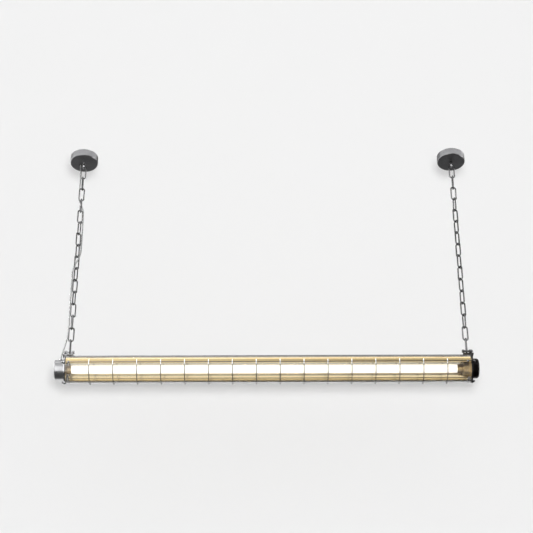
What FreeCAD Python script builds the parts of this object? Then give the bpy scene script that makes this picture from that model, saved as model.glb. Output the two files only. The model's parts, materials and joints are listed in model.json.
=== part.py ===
import FreeCAD, Part
import math
import os

# Chain-hung tubular pendant light with a half cage. Millimetres, +Z up, X along the tube,
# -Y the front. The origin lies on the ceiling, midway between the two roses.
V = FreeCAD.Vector
X_AXIS = V(1, 0, 0)
Y_AXIS = V(0, 1, 0)
Z_AXIS = V(0, 0, 1)
LEFT = -1
RIGHT = 1
SIDES = (LEFT, RIGHT)
FLATNESS = 0.001

# Lamp
LAMP_LENGTH = 1200.0
LAMP_DIAMETER = 26.0
LAMP_GLASS_WALL = 1.0
LAMP_CAP_LENGTH = 17.0
LAMP_CAP_WALL = 0.5
LAMP_SEAL_GAP = 0.1
PIN_DIAMETER = 2.4
PIN_LENGTH = 7.0
PIN_SPACING = 12.7
STRIP_WIDTH = 12.0
STRIP_THICKNESS = 1.6

# Lampholders: a round nose, a spigot that carries the end cap, and a tail on the feed side
HOLDER_GAP = 0.3
NOSE_DIAMETER = 44.0
NOSE_REACH = 23.4
NOSE_CLEARANCE = 0.5
LOCK_RING_LENGTH = 7.0
LOCK_RING_LIP = 1.0
LOCK_RING_FLARE = 4.5
SPIGOT_LEDGE = 5.5
SPIGOT_FIT = 0.1
SPIGOT_LENGTH = 6.0
TAIL_DIAMETER = 30.0
TAIL_LENGTH = 14.5
ROTOR_DIAMETER = 18.0
ROTOR_DEPTH = 8.0
ROTOR_FIT = 0.1
HOLDER_SCREW_COUNT = 3
SMALL_SCREW_DIAMETER = 3.0
SMALL_HEAD_DIAMETER = 4.8
SMALL_HEAD_HEIGHT = 1.8
THREAD_FIT = 0.05

# End caps
FEED_CAP_WALL = 1.5
FEED_CAP_FLOOR = 3.0
FEED_CAP_LENGTH = 30.0
FEED_CAP_EDGE = 3.0
FEED_GROOVE_WIDTH = 2.0
FEED_GROOVE_DEPTH = 0.7
FEED_GROOVE_PLACE = 7.5
BLANK_CAP_WALL = 2.5
BLANK_CAP_FLOOR = 6.0
BLANK_CAP_LENGTH = 20.5
BLANK_CAP_EDGE = 8.0
SET_SCREW_PLACE = 3.0

# Glass cylinder
GLASS_DIAMETER = 85.0
GLASS_WALL = 3.0
GASKET_THICKNESS = 1.5

# End flanges
FLANGE_THICKNESS = 3.5
FLANGE_LIP = 1.0
LUG_RADIUS = 6.0
EAR_RISE = 4.5

# Tie rods and the half hoops of the cage
ROD_DIAMETER = 3.0
ROD_GAP = 0.3
FRONT_ROD = 180.0
BOTTOM_ROD = 270.0
BACK_ROD = 360.0
ROD_ANGLES = (FRONT_ROD, BOTTOM_ROD, BACK_ROD)
HOOP_WIRE = 2.5
HOOP_PITCH = 71.8
HOOP_COUNT = 16
HOOP_OVERRUN = 8.0
HOOP_GLASS_GAP = 0.4
WELD_DEPTH = 0.2
COLLAR_DIAMETER = 7.0
COLLAR_LENGTH = 7.0
COLLAR_INSET = 12.0
NUT_ACROSS = 7.0
NUT_HEX_HEIGHT = 3.5
NUT_DOME_RADIUS = 3.3
NUT_HOLE_SPARE = 0.5
ROD_REACH = 4.0

# Reflector, from the front edge over the top and down the back
REFLECTOR_GAP = 1.0
REFLECTOR_THICKNESS = 0.8
REFLECTOR_INSET = 3.0
REFLECTOR_BACK_DIP = 56.0
STRAP_THICKNESS = 1.4
STRAP_HALF_ANGLE = 12.0
STRAP_OVERLAP = 12.0
STRAP_FIT = 0.05
STRAP_FOOT_CLEARANCE = 1.0
RIVET_DIAMETER = 2.5
RIVET_HEAD_DIAMETER = 5.0
RIVET_HEAD_HEIGHT = 0.7
RIVET_PLACE = 5.0

# Chains
LINK_COUNT = 16
LINK_WIRE = 4.5
LINK_WIDTH = 20.0
LINK_INNER_LENGTH = 45.3
LINK_TWIST = 45.0
CONTACT_GAP = 0.3
CHAIN_INSET = 8.0

# Hangers
HANGER_THICKNESS = 3.0
HANGER_WIDTH = 18.0
HANGER_EAR_SPACE = 14.0
HANGER_EAR_WIDTH = 10.0
HANGER_TOE = 2.0
HANGER_BROW = 5.5
HANGER_LEG_BOTTOM = 33.0
HANGER_BOLT_DIAMETER = 6.0
HANGER_BOLT_FIT = 0.1
HANGER_BOLT_HEAD = 4.0
HANGER_BOLT_REACH = 4.0
HANGER_BOLT_ACROSS = 10.0
HANGER_NUT_HEX_HEIGHT = 5.0
HANGER_NUT_DOME_RADIUS = 4.7
LINK_CLEARANCE = 3.0
HANGER_SCREW_DIAMETER = 5.0
HANGER_SCREW_HEAD = 8.5
HANGER_SCREW_HEAD_HEIGHT = 3.0
HANGER_SCREW_RISE = 39.0

# Ceiling roses and eye hooks
ROSE_DIAMETER = 90.0
ROSE_HEIGHT = 25.0
ROSE_WALL = 1.5
ROSE_EDGE = 3.0
PLATE_CLEARANCE = 3.5
PLATE_THICKNESS = 3.0
PLATE_HOLE_DIAMETER = 5.0
PLATE_HOLE_SPACING = 50.0
PLATE_ENTRY_DIAMETER = 10.0
PLATE_ENTRY_PLACE = 22.0
STEM_NUT_ACROSS = 10.0
PLATE_NUT_HEIGHT = 7.0
EYE_RADIUS = 6.5
EYE_STEM_DIAMETER = 6.0
EYE_STEM_TOP = 0.5
EYE_STEM_FIT = 0.2
JAM_NUT_HEIGHT = 3.0
JAM_NUT_GAP = 0.5

# Flex and its fittings
CORD_DIAMETER = 4.2
CORD_FIT = 0.05
CORD_ENTRY_OUT = 12.0
CORD_ENTRY_BACK = 6.0
CORD_ENTRY_DROP = 11.0
CORD_GLAND_RISE = 6.0
BUSH_NECK = 8.0
BUSH_RIM = 12.0
BUSH_RIM_HEIGHT = 1.5
GLAND_PLACE = 14.5
GLAND_NECK = 8.0
GLAND_ACROSS = 11.0
GLAND_HEX_HEIGHT = 3.0
GLAND_NUT_DIAMETER = 9.0
GLAND_NUT_HEIGHT = 6.0
GLAND_NUT_FIT = 0.2
GLAND_INNER_REACH = 2.0
BLOCK_WIDTH = 12.0
BLOCK_LENGTH = 20.0
BLOCK_HEIGHT = 10.0
FEED_BLOCK_HEIGHT = 8.5

# Places along the tube, worked out from the lamp
FLANGE_SPAN = LAMP_LENGTH + NOSE_REACH + 2 * HOLDER_GAP
FLANGE_INNER = FLANGE_SPAN / 2
FLANGE_OUTER = FLANGE_INNER + FLANGE_THICKNESS
LAMP_LEFT = -FLANGE_INNER
LAMP_RIGHT = LAMP_LEFT + LAMP_LENGTH
CHAIN_X = FLANGE_INNER - CHAIN_INSET
CAP_BORE = NOSE_DIAMETER + 2 * SPIGOT_LEDGE
SPIGOT_RADIUS = CAP_BORE / 2 - SPIGOT_FIT
GLAND_X = -(FLANGE_OUTER + GLAND_PLACE)

# Radii about the tube's axis and the chains
GLASS_RADIUS = GLASS_DIAMETER / 2
GLASS_BORE = GLASS_RADIUS - GLASS_WALL
FLANGE_RADIUS = GLASS_RADIUS + FLANGE_LIP
ROD_CIRCLE = GLASS_RADIUS + ROD_GAP + ROD_DIAMETER / 2
HOOP_AT_ROD = ROD_CIRCLE + ROD_DIAMETER / 2 + HOOP_WIRE / 2 - WELD_DEPTH
HOOP_AT_BOTTOM = GLASS_RADIUS + HOOP_GLASS_GAP + HOOP_WIRE / 2
HOOP_LIFT = (HOOP_AT_ROD ** 2 - HOOP_AT_BOTTOM ** 2) / (2 * HOOP_AT_BOTTOM)
HOOP_RADIUS = HOOP_AT_BOTTOM + HOOP_LIFT
REFLECTOR_OUTER = GLASS_BORE - REFLECTOR_GAP
REFLECTOR_INNER = REFLECTOR_OUTER - REFLECTOR_THICKNESS
STRAP_OUTER = REFLECTOR_INNER - STRAP_FIT
FEED_CAP_RADIUS = CAP_BORE / 2 + FEED_CAP_WALL
BLANK_CAP_RADIUS = CAP_BORE / 2 + BLANK_CAP_WALL
HOLDER_SCREW_CIRCLE = (NOSE_DIAMETER / 2 + SPIGOT_RADIUS) / 2
PLATE_RADIUS = ROSE_DIAMETER / 2 - ROSE_WALL - PLATE_CLEARANCE
LOCK_RING_RADIUS = NOSE_DIAMETER / 2 + LOCK_RING_FLARE

# Heights, from the ceiling down to the tube's axis
EYE_CENTRE_Z = -(ROSE_HEIGHT + JAM_NUT_HEIGHT + JAM_NUT_GAP + LINK_WIRE / 2 + EYE_RADIUS)
TOP_LINK_Z = EYE_CENTRE_Z - EYE_RADIUS + LINK_WIRE + CONTACT_GAP
LINK_PITCH = LINK_INNER_LENGTH - CONTACT_GAP
BOTTOM_WIRE_Z = TOP_LINK_Z - (LINK_COUNT - 1) * LINK_PITCH - LINK_INNER_LENGTH - LINK_WIRE
BOLT_Z = BOTTOM_WIRE_Z + LINK_WIRE / 2 + CONTACT_GAP + HANGER_BOLT_DIAMETER / 2
BASE_UNDERSIDE = FLANGE_RADIUS + EAR_RISE
BASE_TOP = BASE_UNDERSIDE + HANGER_THICKNESS
BOLT_RISE = BASE_TOP + LINK_CLEARANCE + LINK_WIRE + CONTACT_GAP + HANGER_BOLT_DIAMETER / 2
AXIS_Z = BOLT_Z - BOLT_RISE


# The flex: its three stretches meet beside the top joints of the second and the last link
def beside_chain(out, back, links):
    """A place by the left chain: outwards and backwards in link widths, downwards in links."""
    return V(-CHAIN_X - out * LINK_WIDTH, back * LINK_WIDTH, TOP_LINK_Z - links * LINK_PITCH)


CORD_IN_ROSE = V(-CHAIN_X - CORD_ENTRY_OUT, CORD_ENTRY_BACK, -PLATE_THICKNESS - BLOCK_HEIGHT)
CORD_TOP_JOIN = beside_chain(0.44, 0.355, 1)
CORD_TAIL_JOIN = beside_chain(0.7, 0.28, LINK_COUNT - 1)
GLAND_TOP = AXIS_Z + FEED_CAP_RADIUS + GLAND_HEX_HEIGHT + GLAND_NUT_HEIGHT
CORD_TOP_POINTS = (
    CORD_IN_ROSE,
    V(CORD_IN_ROSE.x, CORD_IN_ROSE.y, -ROSE_HEIGHT - CORD_ENTRY_DROP),
    beside_chain(0.45, 0.36, 0.51),
    CORD_TOP_JOIN,
)
CORD_RUN_POINTS = (
    CORD_TOP_JOIN,
    beside_chain(0.42, 0.345, 1.98),
    beside_chain(0.48, 0.28, 3),
    beside_chain(-0.52, -0.205, 4),
    beside_chain(-0.53, -0.125, 5),
    beside_chain(-0.55, -0.08, 6),
    beside_chain(-0.54, -0.02, 7),
    beside_chain(-0.54, -0.015, 8),
    beside_chain(0.54, 0.015, 9),
    beside_chain(0.54, 0.03, 10),
    beside_chain(0.52, 0.075, 11),
    beside_chain(0.52, 0.12, 12),
    beside_chain(0.5, 0.2, 13),
    beside_chain(0.47, 0.28, 14),
    beside_chain(0.55, 0.31, LINK_COUNT - 1.4),
    CORD_TAIL_JOIN,
)
CORD_TAIL_POINTS = (
    CORD_TAIL_JOIN,
    beside_chain(0.85, 0.25, LINK_COUNT - 0.6),
    beside_chain(1.08, 0.13, LINK_COUNT - 0.09),
    V(GLAND_X, 0.0, GLAND_TOP + CORD_GLAND_RISE),
    V(GLAND_X, 0.0, AXIS_Z + TAIL_DIAMETER / 2 + FEED_BLOCK_HEIGHT),
)
ARC_SHARE = 0.45


# Plain solids
def cylinder_x(radius, x0, x1, y=0.0, z=AXIS_Z):
    """A round bar along X."""
    return Part.makeCylinder(radius, abs(x1 - x0), V(min(x0, x1), y, z), X_AXIS)


def cylinder_z(radius, z0, z1, x, y=0.0):
    """An upright round bar."""
    return Part.makeCylinder(radius, abs(z1 - z0), V(x, y, min(z0, z1)), Z_AXIS)


def block(x_ends, y_ends, z_ends):
    """A box between pairs of limits given in any order."""
    low = V(min(x_ends), min(y_ends), min(z_ends))
    high = V(max(x_ends), max(y_ends), max(z_ends))
    size = high - low
    return Part.makeBox(size.x, size.y, size.z, low)


def hexagon(across, start, direction, height):
    """A hexagonal prism, given its size across the flats."""
    corner_radius = across / math.sqrt(3)
    turn = FreeCAD.Rotation(Z_AXIS, direction)
    corners = []
    for step in range(7):
        angle = math.radians(60 * step)
        corner = V(corner_radius * math.cos(angle), corner_radius * math.sin(angle), 0)
        corners.append(start + turn.multVec(corner))
    return Part.Face(Part.makePolygon(corners)).extrude(direction * height)


def around_axis(radius, angle):
    """(y, z) on a circle about the tube's axis; 90 is up, 180 the front, 270 down, 360 the back."""
    turn = math.radians(angle)
    return radius * math.cos(turn), AXIS_Z + radius * math.sin(turn)


def turned(profile, axis_point, axis, angle=360.0):
    """The solid that a closed profile sweeps about an axis."""
    return Part.Face(Part.Wire(profile)).revolve(axis_point, axis, angle)


def line(start, end):
    return Part.LineSegment(start, end).toShape()


def arc(start, middle, end):
    return Part.Arc(start, middle, end).toShape()


def edges_in_plane(solid, axis, place):
    """The edges that lie wholly in one plane square to an axis."""
    found = []
    for edge in solid.Edges:
        box = edge.BoundBox
        low = V(box.XMin, box.YMin, box.ZMin).dot(axis)
        high = V(box.XMax, box.YMax, box.ZMax).dot(axis)
        if abs(low - place) < FLATNESS and abs(high - place) < FLATNESS:
            found.append(edge)
    return found


def dome_nut(side, seat, size, hole):
    """A dome nut that points outwards along X from the middle of its seat."""
    across, hex_height, dome_radius = size
    hole_radius, hole_depth = hole
    body = hexagon(across, seat, V(side, 0, 0), hex_height)
    dome = Part.makeSphere(dome_radius, seat + V(side * hex_height, 0, 0))
    bore = cylinder_x(hole_radius, seat.x, seat.x + side * hole_depth, seat.y, seat.z)
    return body.fuse(dome).removeSplitter().cut(bore)


# Chain
def chain_link(x, number):
    """One link: two round ends and two bars, with its top wire centre at its own height."""
    wire_radius = LINK_WIRE / 2
    bend = (LINK_WIDTH - LINK_WIRE) / 2
    bar = LINK_INNER_LENGTH + LINK_WIRE - 2 * bend
    section = Part.Circle(V(bend, 0, -bend), Z_AXIS, wire_radius).toShape()
    upper = turned([section], V(0, 0, -bend), -Y_AXIS, 180.0)
    lower = upper.mirror(V(0, 0, -bend - bar / 2), Z_AXIS)
    shape = upper.fuse(lower)
    for edge in (-bend, bend):
        shape = shape.fuse(Part.makeCylinder(wire_radius, bar, V(edge, 0, -bend - bar), Z_AXIS))
    link = shape.removeSplitter()
    link.rotate(V(0, 0, 0), Z_AXIS, link_turn(number))
    link.translate(V(x, 0, TOP_LINK_Z - (number - 1) * LINK_PITCH))
    return link


def link_turn(number):
    """Links stand crosswise in turn, and the chain twists to and fro between its second and last link."""
    crosswise = 90.0 * ((number + 1) % 2)
    if number < 2:
        return crosswise
    return crosswise + LINK_TWIST * math.sin(math.pi * (number - 2) / (LINK_COUNT - 2))


def chain_middle(side):
    return [chain_link(side * CHAIN_X, number) for number in range(2, LINK_COUNT)]


# Ceiling roses
def rose_cup(side):
    """A spun cup with a rounded lower edge, open against the ceiling."""
    x = side * CHAIN_X
    outer = ROSE_DIAMETER / 2
    inner = outer - ROSE_WALL
    cup = cylinder_z(outer, -ROSE_HEIGHT, 0, x)
    cup = cup.makeFillet(ROSE_EDGE, edges_in_plane(cup, Z_AXIS, -ROSE_HEIGHT))
    floor = ROSE_WALL - ROSE_HEIGHT
    hollow = cylinder_z(inner, floor, 0, x)
    hollow = hollow.makeFillet(ROSE_EDGE - ROSE_WALL, edges_in_plane(hollow, Z_AXIS, floor))
    cup = cup.cut(hollow)
    cup = cup.cut(cylinder_z(EYE_STEM_DIAMETER / 2 + EYE_STEM_FIT, -ROSE_HEIGHT, 0, x))
    if side == LEFT:
        hole = BUSH_NECK / 2 + THREAD_FIT
        cup = cup.cut(cylinder_z(hole, -ROSE_HEIGHT, 0, CORD_IN_ROSE.x, CORD_IN_ROSE.y))
    return cup


def ceiling_plate(side):
    """A round plate with two screw holes, a way in for the mains and a hole for the eye's stem."""
    x = side * CHAIN_X
    plate = cylinder_z(PLATE_RADIUS, -PLATE_THICKNESS, 0, x)
    plate = plate.cut(cylinder_z(EYE_STEM_DIAMETER / 2 + THREAD_FIT, -PLATE_THICKNESS, 0, x))
    for y in (-PLATE_HOLE_SPACING / 2, PLATE_HOLE_SPACING / 2):
        plate = plate.cut(cylinder_z(PLATE_HOLE_DIAMETER / 2, -PLATE_THICKNESS, 0, x, y))
    entry_x = x - side * PLATE_ENTRY_PLACE
    return plate.cut(cylinder_z(PLATE_ENTRY_DIAMETER / 2, -PLATE_THICKNESS, 0, entry_x))


def plate_nut(side):
    """The nut welded under the plate, which the eye's stem is screwed into."""
    x = side * CHAIN_X
    nut = hexagon(STEM_NUT_ACROSS, V(x, 0, -PLATE_THICKNESS), -Z_AXIS, PLATE_NUT_HEIGHT)
    return nut.cut(cylinder_z(EYE_STEM_DIAMETER / 2 + THREAD_FIT, -PLATE_THICKNESS - PLATE_NUT_HEIGHT, 0, x))


def eye_hook(side):
    """A ring across the tube's length on a threaded stem."""
    x = side * CHAIN_X
    ring = Part.makeTorus(EYE_RADIUS, LINK_WIRE / 2, V(x, 0, EYE_CENTRE_Z), X_AXIS)
    stem = cylinder_z(EYE_STEM_DIAMETER / 2, EYE_CENTRE_Z + EYE_RADIUS, -EYE_STEM_TOP, x)
    return ring.fuse(stem).removeSplitter()


def jam_nut(side):
    """The nut under the cup that holds it up."""
    x = side * CHAIN_X
    nut = hexagon(STEM_NUT_ACROSS, V(x, 0, -ROSE_HEIGHT), -Z_AXIS, JAM_NUT_HEIGHT)
    return nut.cut(cylinder_z(EYE_STEM_DIAMETER / 2 + THREAD_FIT, -ROSE_HEIGHT - JAM_NUT_HEIGHT, 0, x))


def rose_cord_bush():
    """A rubber bush with a rim on both faces of the cup's floor."""
    x = CORD_IN_ROSE.x
    y = CORD_IN_ROSE.y
    floor = -ROSE_HEIGHT
    bush = cylinder_z(BUSH_NECK / 2, floor, floor + ROSE_WALL, x, y)
    bush = bush.fuse(cylinder_z(BUSH_RIM / 2, floor - BUSH_RIM_HEIGHT, floor, x, y))
    bush = bush.fuse(cylinder_z(BUSH_RIM / 2, floor + ROSE_WALL, floor + ROSE_WALL + BUSH_RIM_HEIGHT, x, y))
    return bush.cut(cylinder_z(CORD_DIAMETER / 2 + CORD_FIT, floor - ROSE_HEIGHT, 0, x, y)).removeSplitter()


def rose_terminal_block():
    x = CORD_IN_ROSE.x
    y = CORD_IN_ROSE.y
    half_width = BLOCK_WIDTH / 2
    half_length = BLOCK_LENGTH / 2
    z_ends = (-PLATE_THICKNESS - BLOCK_HEIGHT, -PLATE_THICKNESS)
    return block((x - half_width, x + half_width), (y - half_length, y + half_length), z_ends)


# Hangers
def hanger_bracket(side):
    """A level base with two round-topped ears for the cross bolt and a leg screwed to the flange."""
    x = side * CHAIN_X
    leg_outer = side * (FLANGE_OUTER + HANGER_THICKNESS)
    half = HANGER_WIDTH / 2
    ear_half = HANGER_EAR_WIDTH / 2
    ear_inner = HANGER_EAR_SPACE / 2
    ear_outer = ear_inner + HANGER_THICKNESS
    toe = x - side * (ear_outer + HANGER_TOE)
    base_z = (AXIS_Z + BASE_UNDERSIDE, AXIS_Z + BASE_TOP)
    shape = block((toe, leg_outer + side * HANGER_BROW), (-half, half), base_z)
    leg_z = (AXIS_Z + HANGER_LEG_BOTTOM, AXIS_Z + BASE_TOP)
    shape = shape.fuse(block((side * FLANGE_OUTER, leg_outer), (-half, half), leg_z))
    for near, far in ((-ear_outer, -ear_inner), (ear_inner, ear_outer)):
        shape = shape.fuse(block((x + near, x + far), (-ear_half, ear_half), (AXIS_Z + BASE_TOP, BOLT_Z)))
        shape = shape.fuse(cylinder_x(ear_half, x + near, x + far, 0, BOLT_Z))
    shape = shape.removeSplitter()
    reach = 2 * ear_outer
    bolt_hole = cylinder_x(HANGER_BOLT_DIAMETER / 2 + HANGER_BOLT_FIT, x - reach, x + reach, 0, BOLT_Z)
    screw_radius = HANGER_SCREW_DIAMETER / 2 + THREAD_FIT
    screw_hole = cylinder_x(screw_radius, leg_outer, side * FLANGE_INNER, 0, AXIS_Z + HANGER_SCREW_RISE)
    return shape.cut(bolt_hole).cut(screw_hole)


def hanger_bolt(side):
    """The cross bolt that the last link hangs the light by, with its head on the inboard ear."""
    x = side * CHAIN_X
    grip = HANGER_EAR_SPACE / 2 + HANGER_THICKNESS
    head_x = x - side * grip
    head = hexagon(HANGER_BOLT_ACROSS, V(head_x, 0, BOLT_Z), V(-side, 0, 0), HANGER_BOLT_HEAD)
    end = x + side * (grip + HANGER_BOLT_REACH)
    return head.fuse(cylinder_x(HANGER_BOLT_DIAMETER / 2, head_x, end, 0, BOLT_Z)).removeSplitter()


def hanger_nut(side):
    x_seat = side * (CHAIN_X + HANGER_EAR_SPACE / 2 + HANGER_THICKNESS)
    size = (HANGER_BOLT_ACROSS, HANGER_NUT_HEX_HEIGHT, HANGER_NUT_DOME_RADIUS)
    hole = (HANGER_BOLT_DIAMETER / 2 + THREAD_FIT, HANGER_BOLT_REACH + HANGER_BOLT_FIT)
    return dome_nut(side, V(x_seat, 0, BOLT_Z), size, hole)


def hanger_screw(side):
    z = AXIS_Z + HANGER_SCREW_RISE
    seat = side * (FLANGE_OUTER + HANGER_THICKNESS)
    head = cylinder_x(HANGER_SCREW_HEAD / 2, seat, seat + side * HANGER_SCREW_HEAD_HEIGHT, 0, z)
    return head.fuse(cylinder_x(HANGER_SCREW_DIAMETER / 2, seat, side * FLANGE_INNER, 0, z)).removeSplitter()


# Glass cylinder and its end flanges
def glass_tube():
    end = FLANGE_INNER - GASKET_THICKNESS
    return cylinder_x(GLASS_RADIUS, -end, end).cut(cylinder_x(GLASS_BORE, -end, end))


def gasket(side):
    inner = side * FLANGE_INNER
    outer = side * (FLANGE_INNER - GASKET_THICKNESS)
    return cylinder_x(GLASS_RADIUS, inner, outer).cut(cylinder_x(GLASS_BORE, inner, outer))


def end_flange(side):
    """A round plate with a lug for each tie rod and a square ear under the hanger's base."""
    ends = (side * FLANGE_INNER, side * FLANGE_OUTER)
    plate = cylinder_x(FLANGE_RADIUS, *ends)
    for angle in ROD_ANGLES:
        y, z = around_axis(ROD_CIRCLE, angle)
        plate = plate.fuse(cylinder_x(LUG_RADIUS, *ends, y, z))
    half = HANGER_WIDTH / 2
    plate = plate.fuse(block(ends, (-half, half), (AXIS_Z, AXIS_Z + BASE_UNDERSIDE))).removeSplitter()
    plate = plate.cut(cylinder_x(NOSE_DIAMETER / 2 + NOSE_CLEARANCE, *ends))
    for angle in ROD_ANGLES:
        y, z = around_axis(ROD_CIRCLE, angle)
        plate = plate.cut(cylinder_x(ROD_DIAMETER / 2 + THREAD_FIT, *ends, y, z))
    for angle in holder_screw_angles():
        y, z = around_axis(HOLDER_SCREW_CIRCLE, angle)
        plate = plate.cut(cylinder_x(SMALL_SCREW_DIAMETER / 2 + THREAD_FIT, *ends, y, z))
    screw_hole = cylinder_x(HANGER_SCREW_DIAMETER / 2 + THREAD_FIT, *ends, 0, AXIS_Z + HANGER_SCREW_RISE)
    return plate.cut(screw_hole)


# Tie rods and cage
def tie_rod(angle):
    reach = FLANGE_OUTER + ROD_REACH
    y, z = around_axis(ROD_CIRCLE, angle)
    return cylinder_x(ROD_DIAMETER / 2, -reach, reach, y, z)


def rod_nuts():
    """Dome nuts on the outer face of both flanges."""
    nuts = []
    size = (NUT_ACROSS, NUT_HEX_HEIGHT, NUT_DOME_RADIUS)
    hole = (ROD_DIAMETER / 2 + THREAD_FIT, ROD_REACH + NUT_HOLE_SPARE)
    for side in SIDES:
        for angle in ROD_ANGLES:
            y, z = around_axis(ROD_CIRCLE, angle)
            nuts.append(dome_nut(side, V(side * FLANGE_OUTER, y, z), size, hole))
    return nuts


def rod_collars():
    """Ball collars on the rods, a little way in from the flanges."""
    collars = []
    for side in SIDES:
        for angle in ROD_ANGLES:
            y, z = around_axis(ROD_CIRCLE, angle)
            middle = V(side * (FLANGE_INNER - COLLAR_INSET), y, z)
            ball = Part.makeSphere(COLLAR_DIAMETER / 2, middle)
            ends = (middle.x - COLLAR_LENGTH, middle.x + COLLAR_LENGTH)
            ball = ball.cut(cylinder_x(ROD_DIAMETER / 2 + THREAD_FIT, *ends, y, z))
            collars.append(ball.cut(cylinder_x(GLASS_RADIUS + ROD_GAP / 2, *ends)))
    return collars


def cage_hoops():
    """Half hoops, each in two arcs, that lie over the front and back rods and meet the bottom rod."""
    bottom_rod = tie_rod(BOTTOM_ROD)
    rod_dip = math.degrees(math.atan2(HOOP_LIFT, HOOP_AT_ROD))
    start = FRONT_ROD + rod_dip - HOOP_OVERRUN
    radius_line = V(0, math.cos(math.radians(start)), math.sin(math.radians(start)))
    arcs = []
    for number in range(HOOP_COUNT):
        centre = V((number - (HOOP_COUNT - 1) / 2) * HOOP_PITCH, 0, AXIS_Z + HOOP_LIFT)
        tip = centre + radius_line * HOOP_RADIUS
        section = Part.Circle(tip, radius_line.cross(X_AXIS), HOOP_WIRE / 2).toShape()
        front = turned([section], centre, X_AXIS, BOTTOM_ROD - start).cut(bottom_rod).Solids[0]
        back = front.copy()
        back.rotate(centre, Z_AXIS, 180)
        arcs.extend((front, back))
    return arcs


# Reflector
def shell_sector(outer, inner, x_ends, first_angle, last_angle):
    """Part of a tube about the axis, between two angles counted from the back over the top."""
    length = abs(x_ends[1] - x_ends[0])
    y0, z0 = around_axis(inner, first_angle)
    y1, z1 = around_axis(outer, first_angle)
    x = min(x_ends)
    corners = [V(x, y0, z0), V(x, y1, z1), V(x + length, y1, z1), V(x + length, y0, z0), V(x, y0, z0)]
    profile = [Part.makePolygon(corners)]
    return turned(profile, V(0, 0, AXIS_Z), X_AXIS, last_angle - first_angle)


def reflector():
    reach = FLANGE_INNER - REFLECTOR_INSET
    shell = shell_sector(REFLECTOR_OUTER, REFLECTOR_INNER, (-reach, reach), -REFLECTOR_BACK_DIP, 180.0)
    for side in SIDES:
        shell = shell.cut(rivet_shank(side, RIVET_DIAMETER / 2 + THREAD_FIT))
    return shell


def rivet_seat():
    """The height where a flat rivet head meets the hollow side of the strap."""
    strap_inner = STRAP_OUTER - STRAP_THICKNESS
    return AXIS_Z + math.sqrt(strap_inner ** 2 - (RIVET_HEAD_DIAMETER / 2) ** 2)


def rivet_shank(side, radius):
    x = side * (FLANGE_INNER - REFLECTOR_INSET - RIVET_PLACE)
    return cylinder_z(radius, rivet_seat(), AXIS_Z + REFLECTOR_OUTER, x)


def reflector_strap(side):
    """A curved strap under the reflector's crown with a foot against the flange."""
    first = 90.0 - STRAP_HALF_ANGLE
    last = 90.0 + STRAP_HALF_ANGLE
    wall = side * FLANGE_INNER
    tip = side * (FLANGE_INNER - REFLECTOR_INSET - STRAP_OVERLAP)
    arm = shell_sector(STRAP_OUTER, STRAP_OUTER - STRAP_THICKNESS, (wall, tip), first, last)
    foot_inner = LOCK_RING_RADIUS + STRAP_FOOT_CLEARANCE
    foot_face = side * (FLANGE_INNER - STRAP_THICKNESS)
    strap = arm.fuse(shell_sector(STRAP_OUTER, foot_inner, (wall, foot_face), first, last)).removeSplitter()
    return strap.cut(rivet_shank(side, RIVET_DIAMETER / 2 + THREAD_FIT))


def reflector_rivet(side):
    shank = rivet_shank(side, RIVET_DIAMETER / 2)
    x = shank.CenterOfMass.x
    top = AXIS_Z + REFLECTOR_OUTER
    low = rivet_seat()
    rivet = shank.fuse(cylinder_z(RIVET_HEAD_DIAMETER / 2, top, top + RIVET_HEAD_HEIGHT, x))
    rivet = rivet.fuse(cylinder_z(RIVET_HEAD_DIAMETER / 2, low - RIVET_HEAD_HEIGHT, low, x))
    return rivet.removeSplitter()


# Lampholders
def holder_screw_angles():
    return [90.0 + 60.0 + 360.0 * step / HOLDER_SCREW_COUNT for step in range(HOLDER_SCREW_COUNT)]


def lampholder(side):
    """A nose through the flange and a spigot outside it; the feed side has a tail for its terminal block."""
    face = LAMP_LEFT - HOLDER_GAP if side == LEFT else LAMP_RIGHT + HOLDER_GAP
    seat = side * FLANGE_OUTER
    spigot_end = seat + side * SPIGOT_LENGTH
    body = cylinder_x(NOSE_DIAMETER / 2, face, seat)
    body = body.fuse(cylinder_x(SPIGOT_RADIUS, seat, spigot_end))
    if side == LEFT:
        body = body.fuse(cylinder_x(TAIL_DIAMETER / 2, spigot_end, spigot_end - TAIL_LENGTH))
    body = body.removeSplitter()
    bore_depth = ROTOR_DEPTH + ROTOR_FIT
    body = body.cut(cylinder_x(ROTOR_DIAMETER / 2 + ROTOR_FIT, face, face + side * bore_depth))
    for angle in holder_screw_angles():
        y, z = around_axis(HOLDER_SCREW_CIRCLE, angle)
        body = body.cut(cylinder_x(SMALL_SCREW_DIAMETER / 2 + THREAD_FIT, seat, spigot_end, y, z))
    if side == LEFT:
        for screw in feed_cap_screws():
            body = body.cut(screw)
    return body


def lock_ring():
    """A flared ring on the far nose that draws the holder against its flange."""
    start = FLANGE_INNER - LOCK_RING_LENGTH
    small = NOSE_DIAMETER / 2 + LOCK_RING_LIP
    flare = Part.makeCone(small, LOCK_RING_RADIUS, LOCK_RING_LENGTH, V(start, 0, AXIS_Z), X_AXIS)
    return flare.cut(cylinder_x(NOSE_DIAMETER / 2 + THREAD_FIT, start, FLANGE_INNER))


def holder_screws():
    screws = []
    for side in SIDES:
        head_seat = side * (FLANGE_OUTER + SPIGOT_LENGTH)
        tip = side * FLANGE_INNER
        for angle in holder_screw_angles():
            y, z = around_axis(HOLDER_SCREW_CIRCLE, angle)
            head = cylinder_x(SMALL_HEAD_DIAMETER / 2, head_seat, head_seat + side * SMALL_HEAD_HEIGHT, y, z)
            shank = cylinder_x(SMALL_SCREW_DIAMETER / 2, head_seat, tip, y, z)
            screws.append(head.fuse(shank).removeSplitter())
    return screws


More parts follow.
